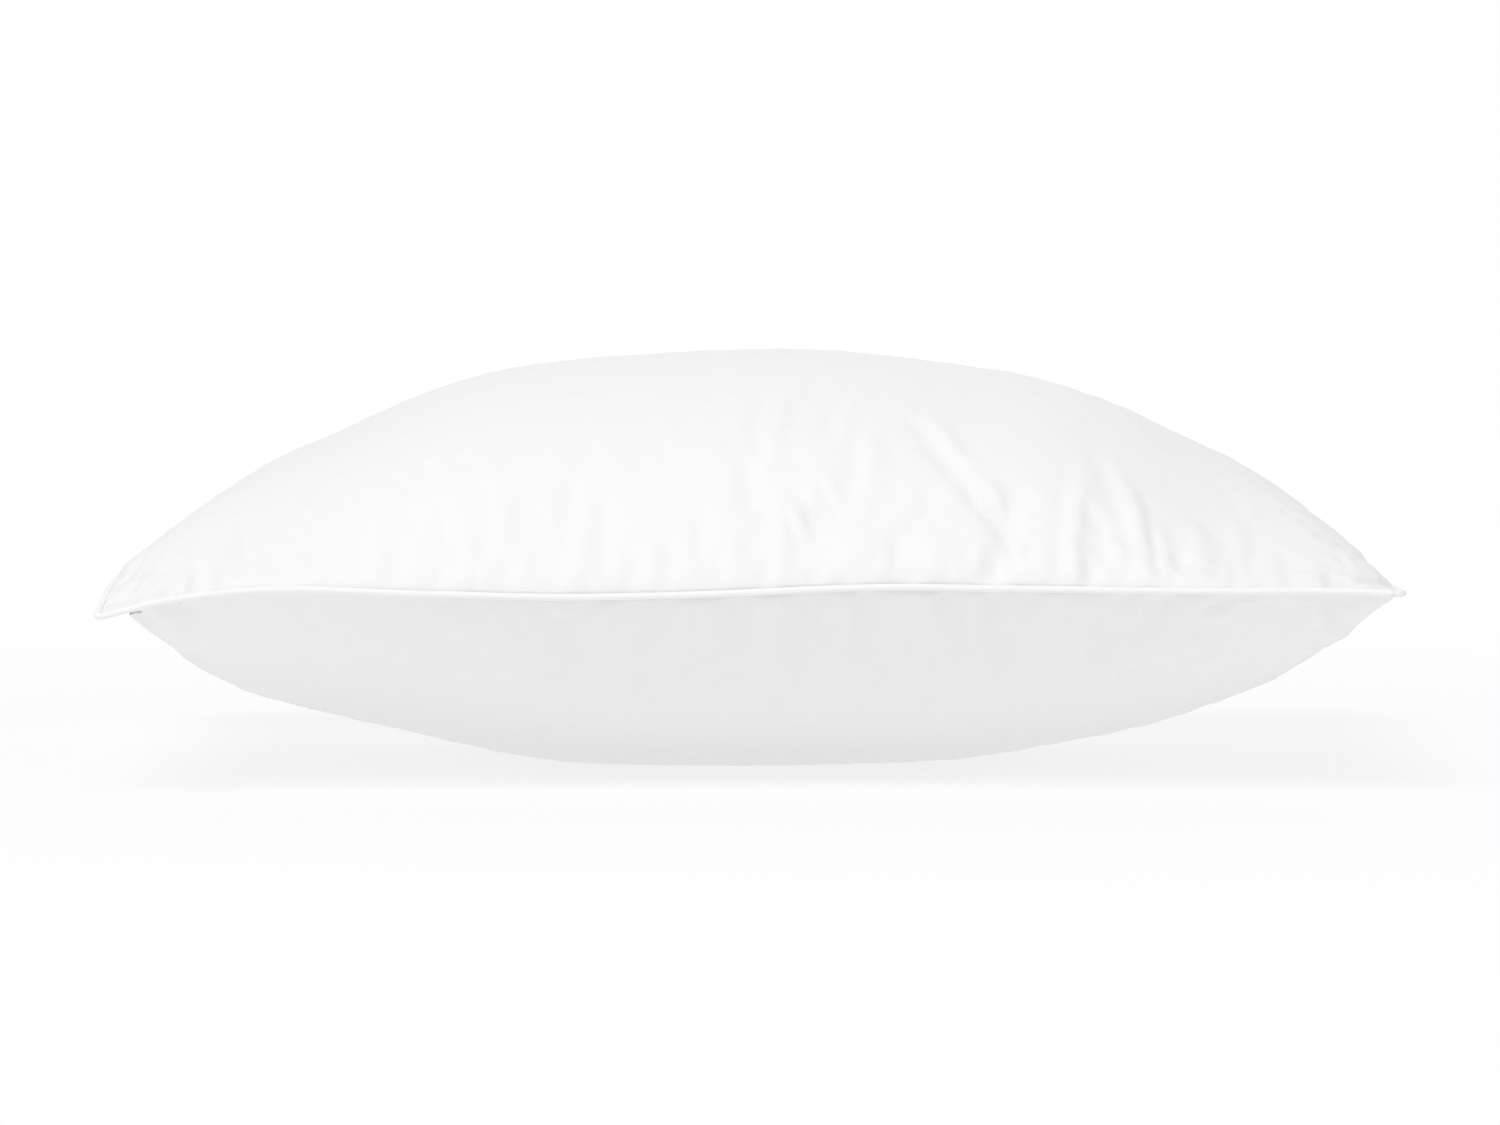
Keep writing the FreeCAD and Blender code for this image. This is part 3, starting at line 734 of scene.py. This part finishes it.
def piping_finish():
    """The bias strip: the ticking's weave turned by an eighth of a turn, so its threads slant."""
    strip = new_finish("bias_strip")
    place, u, v = strip.cloth_place()
    weave = plain_weave((u + v) * SLANT, (u - v) * SLANT, finish().thread_pitch)
    soft = strip.noise(place, 220.0, 3, (1, 2, 1))
    tone = (soft + weave * 0.1).clipped()
    return strip.surface(
        Base_Color=strip.blend(tone, finish().piping, 0.97),
        Roughness=0.7 + soft * 0.15,
        Sheen_Weight=0.06,
        Sheen_Roughness=0.5,
        Specular_IOR_Level=0.35,
        Normal=strip.bump(weave * 1.8e-5 + soft * 9e-5),
    )


def twisted_finish(name, tint, pitch, ply):
    """Twisted yarn: plies that wind round it, ply apart, with fine hair. Its map runs along and around."""
    yarn = new_finish(name)
    place, u, v = yarn.cloth_place()
    winding = ((u * (2 * math.pi / pitch)) + v * (2 * math.pi / ply)).sine()
    hair = yarn.noise(place, 3000.0, 2, (0.3, 1, 1))
    # The colour follows the winding: darker in the grooves between the plies and lighter on their crowns,
    # which is painted shade and painted highlight; the hair adds random tone.
    tone = (winding * 0.35 + 0.3 + hair * 0.5).clipped()
    return yarn.surface(
        Base_Color=yarn.blend(tone, tint, 0.82, 1.04),
        Roughness=0.62 + hair * 0.2,
        Sheen_Weight=0.1,
        Sheen_Roughness=0.4,
        Normal=yarn.bump(winding * (0.06 * ply) + hair * 2e-5),
    )


def fibre_finish():
    """Loose white fibre: tangled hair of several sizes in pale tufts."""
    tuft = new_finish("loose_fibre")
    place = tuft.node("TexCoord", None, None, 3)
    hair = tuft.noise(place, 260.0, 6, (1, 3, 1))
    crossing = tuft.noise(place, 240.0, 6, (3, 1, 2))
    lump = tuft.noise(place, 24.0, 2)
    tone = (hair * 0.6 + lump * 0.4).clipped()
    return tuft.surface(
        Base_Color=tuft.blend(tone, finish().fibre, 0.86),
        Roughness=0.85 + crossing * 0.1,
        Sheen_Weight=0.3,
        Sheen_Roughness=0.6,
        Normal=tuft.bump((hair + crossing) * 7e-4 + lump * 2e-3),
    )


def label_finish():
    """Blank satin ribbon: long floats along it, a firm woven edge each side, and a slightly uneven gloss."""
    satin = new_finish("label_satin")
    place, u, v = satin.cloth_place()
    floats = (v * (2 * math.pi / 2.2e-4)).sine()
    edge = abs(v) > 0.0113
    mottle = satin.noise(place, 500.0, 2, (0.2, 1, 1))
    tone = (mottle * 0.7 + edge * 0.3).clipped()
    return satin.surface(
        Base_Color=satin.blend(tone, finish().label, 0.95),
        Roughness=0.36 + mottle * 0.1 + edge * 0.25,
        Sheen_Weight=0.1,
        Normal=satin.bump(floats * 8e-6 + edge * 6e-5),
    )


def surroundings(brightness):
    """White light of a brightness from all around. The camera itself sees a white wall of brightness 1."""
    air = Finish(bpy.data.worlds.new("white_surroundings"))
    seen = air.node("LightPath", None, None, 0)
    strength = seen * (1 - brightness) + brightness
    return air.close(air.node("Background", None, {"Color": (1, 1, 1, 1), "Strength": strength}), "World")


def floor_finish(fade_start=0.1, fade_end=1.1, glow_share=0.62):
    """A white floor that turns into the colour of the surroundings further out, so that it has no edge."""
    white = new_finish("stage_floor")
    place = white.node("TexCoord", None, None, 3)
    away = white.node("VectorMath", {"operation": "LENGTH"}, {0: place}, 1)
    share = ((away - fade_start) * ((1 - glow_share) / (fade_end - fade_start))).clipped() + glow_share
    grain = white.noise(place, 400.0, 2)
    paint = white.node(
        "BsdfPrincipled", None,
        {"Base Color": white.blend(grain, (1, 1, 1), 0.9, 0.92), "Roughness": 0.9,
         "Specular IOR Level": 0.1},
    )
    glow = white.node("Emission", None, {"Color": (1, 1, 1, 1), "Strength": 1.0})
    return white.close(white.node("MixShader", None, {0: share, 1: paint, 2: glow}))


# ---- operators


def open_share(u, v):
    """How far the casing stands open beside the seam: 0 in the flat ears, 1 well away from them."""
    return np.minimum(ear_share(u, v, TOP), ear_share(u, v, BOTTOM))


def allowance_reach(u, v):
    """How wide the seam allowance is at each point of the seam: it is clipped away at corners and ears."""
    corner = np.hypot((1 - np.abs(u)) * HALF_LENGTH, (1 - np.abs(v)) * HALF_WIDTH)
    return ALLOWANCE * (1 - 0.94 * np.exp(-((corner / (15 * MM)) ** 2))) * open_share(u, v)


def flat_band(u, v, start, lift):
    """A band that follows the seam inwards from start to the allowance's edge, lifted over the seam."""
    width = np.maximum(allowance_reach(u, v) - start, 0.2 * MM)
    x, y = plan(u[:, None], v[:, None], start + width[:, None] * np.linspace(0, 1, 4))
    return np.stack([x, y, np.broadcast_to((SEAM_HEIGHT + seam_rise(u, v) + lift)[:, None], x.shape)], -1)


class PILLOW_OT_casing(bpy.types.Operator):
    """Blow up the two ticking panels as one casing, then finish each with its folds and its seam allowance"""

    bl_idname = "pillow.casing"
    bl_label = "Casing panels"

    def execute(self, context):
        across = round(cloth().cells * shape().cut_width / shape().cut_length)
        u, v = shares(cloth().cells, across)
        points, faces, top, bottom, held = casing_mesh(u, v)
        rim = np.unique(np.concatenate([top[0], top[-1], top[:, 0], top[:, -1]]))
        points = simulate(points, faces, held, rim)
        ticking = ticking_finish()
        for side, numbers, name in ((TOP, top, "ticking_top"), (BOTTOM, bottom, "ticking_bottom")):
            grid = finished_panel(points[numbers], side)
            PANELS[side] = grid
            uvs = np.stack(cloth_places(grid.shape[0] - 1, grid.shape[1] - 1), -1)
            count = grid.shape[0] * grid.shape[1]
            quads = grid_quads(np.arange(count).reshape(grid.shape[:2]))
            _, *rim_shares = seam_line(0, 3 * MM)
            band = flat_band(*rim_shares, 1.2 * MM, side * 0.7 * MM * open_share(*rim_shares))
            rows = count + np.arange(band[..., 0].size).reshape(band.shape[:2])
            band_quads = grid_quads(np.concatenate([rows, rows[:1]]))
            panel = new_piece(
                name,
                np.concatenate([grid.reshape(-1, 3), band.reshape(-1, 3)]),
                np.concatenate([quads, band_quads[:, ::-1]])[:, ::side],
                np.concatenate([uvs.reshape(-1, 2), band.reshape(-1, 3)[:, :2]]),
                ticking,
            )
            wall = panel.modifiers.new("cloth", "SOLIDIFY")
            wall.thickness = shape().cloth
            wall.offset = -1
            hand_over(panel, "ticking", "top_panel" if side == TOP else "bottom_panel")
        return {"FINISHED"}


class PILLOW_OT_fill(bpy.types.Operator):
    """Fill the casing with tufts of loose fibre"""

    bl_idname = "pillow.fill"
    bl_label = "Fibre fill"

    def execute(self, context):
        upper, lower = panel_grid(TOP)[::4, ::2], panel_grid(BOTTOM)[::4, ::2]
        top, bottom, inside = two_panels(upper[..., 0])
        points = np.concatenate([self.tufted(upper, TOP).reshape(-1, 3), self.tufted(lower, BOTTOM)[inside]])
        faces = np.concatenate([grid_quads(top), grid_quads(bottom)[:, ::-1]])
        fill = new_piece("loose_fill", points, faces, material=fibre_finish())
        hand_over(fill, "fibre_fill", "fill")
        return {"FINISHED"}

    def tufted(self, grid, side):
        """The panel drawn in towards the middle by a twentieth, and lumpy with three crossing waves."""
        middle = np.array([0, 0, SEAM_HEIGHT])
        points = middle + (grid - middle) * np.array([0.955, 0.945, 0.94])
        x, y, _ = np.moveaxis(points / MM, -1, 0)
        lumps = np.sin(x / 9 + 2 * np.sin(y / 23)) * np.sin(y / 8 + side) + 0.6 * np.sin(x / 4.1 - y / 5.3)
        u, v = shares(grid.shape[0] - 1, grid.shape[1] - 1)
        rim = np.minimum(1, np.minimum(1 - np.abs(u), 1 - np.abs(v)) * 8) * ear_share(u, v, side)
        return points + side * normals(points) * (lumps * rim * 1.1 * MM)[..., None]


class PILLOW_OT_piping(bpy.types.Operator):
    """Wrap the bias strip round the cord, along the whole seam"""

    bl_idname = "pillow.piping"
    bl_label = "Piping strip"

    def execute(self, context):
        line, u, v = seam_line(0, PIPING_STEP)
        turn = np.linspace(math.radians(197), math.radians(523), 17)
        place = np.arange(len(line))
        ripple = 1 + 0.02 * np.sin(place * 0.37 + 3 * np.sin(place * 0.011))
        out, up = (PIPING_RADIUS * ripple[:, None] * wave(turn) for wave in (np.cos, np.sin))
        tube, _ = swept(line, out, up)
        half = (0.05 + 0.4 * open_share(u, v)) * MM
        over, under = (flat_band(u, v, FLANGE_START, lift) for lift in (half, -half))
        points = np.concatenate([tube, over, under[:, ::-1]], axis=1)
        uvs = pairs(place * PIPING_STEP, run_along(points[9]))
        strip = new_piece("piping_strip", points, closed_both(points), uvs, piping_finish())
        hand_over(strip, "piping_cloth", "piping_cover")
        return {"FINISHED"}


class PILLOW_OT_cord(bpy.types.Operator):
    """Lay the three-strand filler cord inside the piping"""

    bl_idname = "pillow.cord"
    bl_label = "Filler cord"

    strands: IntProperty(name="Strands", description="Strands twisted into the cord", default=3)
    lay: length(0.012, "Lay", "Length of one turn of a strand")

    def execute(self, context):
        line, _, _ = seam_line(0, CORD_STEP)
        _, side, rise = line_frames(line)
        place = np.arange(len(line))
        turns = round(len(line) * CORD_STEP / self.lay)
        strand_radius = CORD_RADIUS * 0.47
        wrap = np.arange(6) * np.pi / 3
        points, faces, uvs = [], [], []
        for strand in range(self.strands):
            phase = 2 * np.pi * (turns * (place / len(line)) + strand / self.strands)
            centre = line + (CORD_RADIUS - strand_radius) * (
                np.cos(phase)[:, None] * side + np.sin(phase)[:, None] * rise
            )
            around = np.broadcast_to(wrap, (len(line), 6))
            tube, quads = swept(centre, strand_radius * np.cos(around), strand_radius * np.sin(around))
            faces.append(quads + sum(map(len, points)))
            points.append(tube.reshape(-1, 3))
            uvs.append(pairs(place * CORD_STEP, wrap * strand_radius).reshape(-1, 2))
        yarn = twisted_finish("cord_yarn", finish().cord, 0.004, 2 * math.pi * strand_radius)
        cord = new_piece("filler_cord", *map(np.concatenate, (points, faces, uvs)), yarn)
        hand_over(cord, "filler_cord", "piping_cord")
        return {"FINISHED"}


def stitch_piece(name, middles, along, outward, length, radius, sink, material):
    """One thread of separate stitches as a piece. Its map runs along and around each stitch."""
    points, faces = stitches(middles, along, outward, length, radius, sink)
    uvs = np.broadcast_to(pairs(np.linspace(0, length, 5), np.arange(6) * radius), (len(middles), 5, 6, 2))
    return new_piece(name, points, faces, uvs, material)


def thread_finish():
    return twisted_finish("sewing_thread", finish().thread, 0.0012, 0.0012)


class PILLOW_OT_seam_threads(bpy.types.Operator):
    """Sew panels and piping together: needle thread above, bobbin thread below, and the strip's own row"""

    bl_idname = "pillow.seam_threads"
    bl_label = "Seam threads"

    pitch: length(0.004, "Pitch", "From one stitch to the next")
    stitch: length(0.0032, "Stitch", "Length of one stitch")
    radius: length(0.0002, "Thread", "Radius of the thread")

    def execute(self, context):
        material = thread_finish()
        rows = [
            ("needle_row", "needle_thread", 6 * MM, 1.35 * MM),
            ("bobbin_row", "bobbin_thread", 6 * MM, -1.35 * MM),
            ("strip_row", "piping_thread", 2.6 * MM, 0.6 * MM),
        ]
        for name, node, inset, lift in rows:
            line, u, v = seam_line(inset, self.pitch)
            line[:, 2] += lift
            along, _, _ = line_frames(line)
            outward = np.broadcast_to([0, 0, math.copysign(1.0, lift)], line.shape)
            sewn = allowance_reach(u, v) > inset + 1 * MM
            row = stitch_piece(
                name, line[sewn], along[sewn], outward[sewn], self.stitch, self.radius, 0.3 * MM, material
            )
            hand_over(row, "sewing_thread", node)
        return {"FINISHED"}


class PILLOW_OT_closing_thread(bpy.types.Operator):
    """Topstitch the opening at the back, through which the fill went in"""

    bl_idname = "pillow.closing_thread"
    bl_label = "Closing stitches"

    count: IntProperty(name="Stitches", description="Stitches on each side", default=46, min=1)
    inset: length(0.0048, "Inset", "Cloth between piping and stitches")
    radius: length(0.00025, "Thread", "Radius of the thread")

    def execute(self, context):
        u = np.linspace(CLOSING_BOX[0].x, CLOSING_BOX[1].x, self.count) / HALF_LENGTH
        rows = [on_cloth(side, u, self.inset) for side in (TOP, BOTTOM)]
        middles, along, outward = map(np.concatenate, zip(*rows))
        stitch = (CLOSING_BOX[1].x - CLOSING_BOX[0].x) / self.count * 0.8
        middles = middles + outward * self.radius
        row = stitch_piece(
            "closing_row", middles, along, outward, stitch, self.radius, 0.35 * MM, thread_finish()
        )
        hand_over(row, "sewing_thread", "closing_thread")
        return {"FINISHED"}


def on_cloth(side, u, distance):
    """Points of a panel a distance of cloth in from its back seam, at shares u.

    Returns the points, the direction along the seam and the normal out of the pillow.
    """
    v = 1 - np.linspace(0, 0.12, 240)
    lines = on_panel(side, u[:, None] + 0 * v, v + 0 * u[:, None])
    reach = np.cumsum(np.linalg.norm(np.diff(lines, axis=1), axis=2), axis=1)
    pick = np.clip(np.argmin(np.abs(reach - distance), axis=1) + 1, 2, len(v) - 3)
    rows = np.arange(len(u))
    middle = lines[rows, pick]
    across = lines[rows, pick + 2] - lines[rows, pick - 2]
    along = np.gradient(middle, axis=0)
    along /= np.linalg.norm(along, axis=1, keepdims=True)
    normal = np.cross(across, along) * side
    return middle, along, normal / np.linalg.norm(normal, axis=1, keepdims=True)


class PILLOW_OT_label(bpy.types.Operator):
    """Hang the blank satin care label out of the back seam, folded in half"""

    bl_idname = "pillow.label"
    bl_label = "Care label"

    drop: length(0.034, "Drop", "Length that hangs out of the seam")
    ply: length(0.0002, "Ribbon", "Thickness of the ribbon", precision=5)

    def execute(self, context):
        x = np.linspace(LABEL_BOX[0].x, LABEL_BOX[1].x, 15)
        across = x - x.mean()
        fall = np.linspace(0.3 * MM, self.drop, 26)
        hang = np.stack([on_cloth(BOTTOM, x / HALF_LENGTH, distance)[0] for distance in fall])
        level = hang.mean(axis=1, keepdims=True)
        level[..., 1] = hang[..., 1].max(axis=1, keepdims=True)
        hang = np.broadcast_to(level, hang.shape).copy()
        hang[..., 0] = x
        share = (fall / self.drop)[:, None]
        away = 0.6 * MM + 0.9 * MM * share**2 + 0.6 * MM * share * (across / across.max()) ** 2
        away = away + 0.25 * MM * np.sin(5 * share + across * 90) * share
        inner, outer = hang.copy(), hang.copy()
        inner[..., 1] += away
        outer[..., 1] += away + self.ply * 1.3 + 0.15 * MM * np.sin(np.pi * share) ** 2
        bend = np.linspace(-np.pi / 2, np.pi / 2, 7)[1:-1, None]
        middle, half = (inner[-1] + outer[-1]) / 2, (outer[-1] - inner[-1])[None, :, 1] / 2
        fold = np.broadcast_to(middle, (5, *middle.shape)).copy()
        fold[..., 1] += half * np.sin(bend)
        fold[..., 2] -= half * np.cos(bend)
        tuck = np.broadcast_to(inner[0], (5, *inner[0].shape)).copy()
        tuck[..., 1] -= np.linspace(6 * MM, 1 * MM, 5)[:, None]
        tuck[..., 2] -= 0.6 * MM
        back = tuck[::-1].copy()
        back[..., 2] += 0.35 * MM
        ribbon = np.concatenate([tuck, inner, fold, outer[::-1], back])
        uvs = pairs(run_along(ribbon[:, 7]), across)
        faces = grid_quads(np.arange(ribbon.shape[0] * ribbon.shape[1]).reshape(ribbon.shape[:2]))
        label = new_piece("blank_label", ribbon, faces, uvs, label_finish())
        wall = label.modifiers.new("ribbon", "SOLIDIFY")
        wall.thickness = self.ply
        wall.offset = 0
        hand_over(label, "label_satin", "care_label")
        return {"FINISHED"}


class PILLOW_OT_stage(bpy.types.Operator):
    """Set out the white floor, the soft light and the camera"""

    bl_idname = "pillow.stage"
    bl_label = "Floor, light and camera"

    def execute(self, context):
        stage = context.scene.pillow_stage
        sides, radius = 96, 12
        turn = np.linspace(0, 2 * np.pi, sides + 1)[:-1]
        disc = np.stack([radius * np.cos(turn), radius * np.sin(turn), 0 * turn], -1)
        floor = new_piece("floor", disc, np.arange(sides)[None], material=floor_finish())
        context.scene.world = surroundings(stage.sky)
        self.lamp(context, "key", Vector((-0.9, -2.2, 3.1)), 2.4, stage.key)
        self.lamp(context, "back", Vector((0.9, 3.2, 1.6)), 2.0, stage.back)
        self.camera(context, stage)
        context.scene.view_settings.view_transform = "Standard"
        return {"FINISHED"}

    def lamp(self, context, name, place, size, power):
        """A large square light that shines on the middle of the pillow."""
        light = bpy.data.lights.new(name, "AREA")
        light.size = size
        light.energy = power
        self.aimed(context, light, place, Vector((0, 0, 0.1))).visible_camera = False

    def aimed(self, context, data, place, target):
        """A lamp or a camera at a place, turned to face a target."""
        thing = bpy.data.objects.new(data.name, data)
        thing.location = place
        thing.rotation_euler = (target - place).to_track_quat("-Z", "Y").to_euler()
        context.scene.collection.objects.link(thing)
        return thing

    def camera(self, context, stage):
        """The camera stands level with the pillow's front, a little above it."""
        lens = bpy.data.cameras.new("camera")
        lens.lens = stage.lens
        target = Vector((0, 0, stage.aim))
        back = Vector((0, -math.cos(stage.elevation), math.sin(stage.elevation)))
        context.scene.camera = self.aimed(context, lens, target + stage.distance * back, target)


class PILLOW_PT_build(bpy.types.Panel):
    """The pillow's sizes and colours, and a button for each piece"""

    bl_label = "Corded bed pillow"
    bl_space_type = "VIEW_3D"
    bl_region_type = "UI"
    bl_category = "Pillow"

    def draw(self, context):
        for settings in (shape(), cloth(), finish(), context.scene.pillow_stage):
            box = self.layout.box()
            box.label(text=settings.bl_rna.name)
            for name in settings.bl_rna.properties.keys():
                if name not in ("rna_type", "name"):
                    box.prop(settings, name)
        for operator in OPERATORS:
            self.layout.operator(operator.bl_idname)


SETTINGS = {"shape": PillowShape, "cloth": PillowCloth, "finish": PillowFinish, "stage": PillowStage}
OPERATORS = (PILLOW_OT_casing, PILLOW_OT_fill, PILLOW_OT_piping, PILLOW_OT_cord, PILLOW_OT_seam_threads,
             PILLOW_OT_closing_thread, PILLOW_OT_label, PILLOW_OT_stage)


def register():
    for name, settings in SETTINGS.items():
        bpy.utils.register_class(settings)
        setattr(bpy.types.Scene, "pillow_" + name, PointerProperty(type=settings))
    for operator in OPERATORS:
        bpy.utils.register_class(operator)
    bpy.utils.register_class(PILLOW_PT_build)


def unregister():
    bpy.utils.unregister_class(PILLOW_PT_build)
    for operator in reversed(OPERATORS):
        bpy.utils.unregister_class(operator)
    for name, settings in SETTINGS.items():
        delattr(bpy.types.Scene, "pillow_" + name)
        bpy.utils.unregister_class(settings)


def main():
    register()
    for operator in OPERATORS:
        group, name = operator.bl_idname.split(".")
        getattr(getattr(bpy.ops, group), name)()


if __name__ == "__main__":
    main()
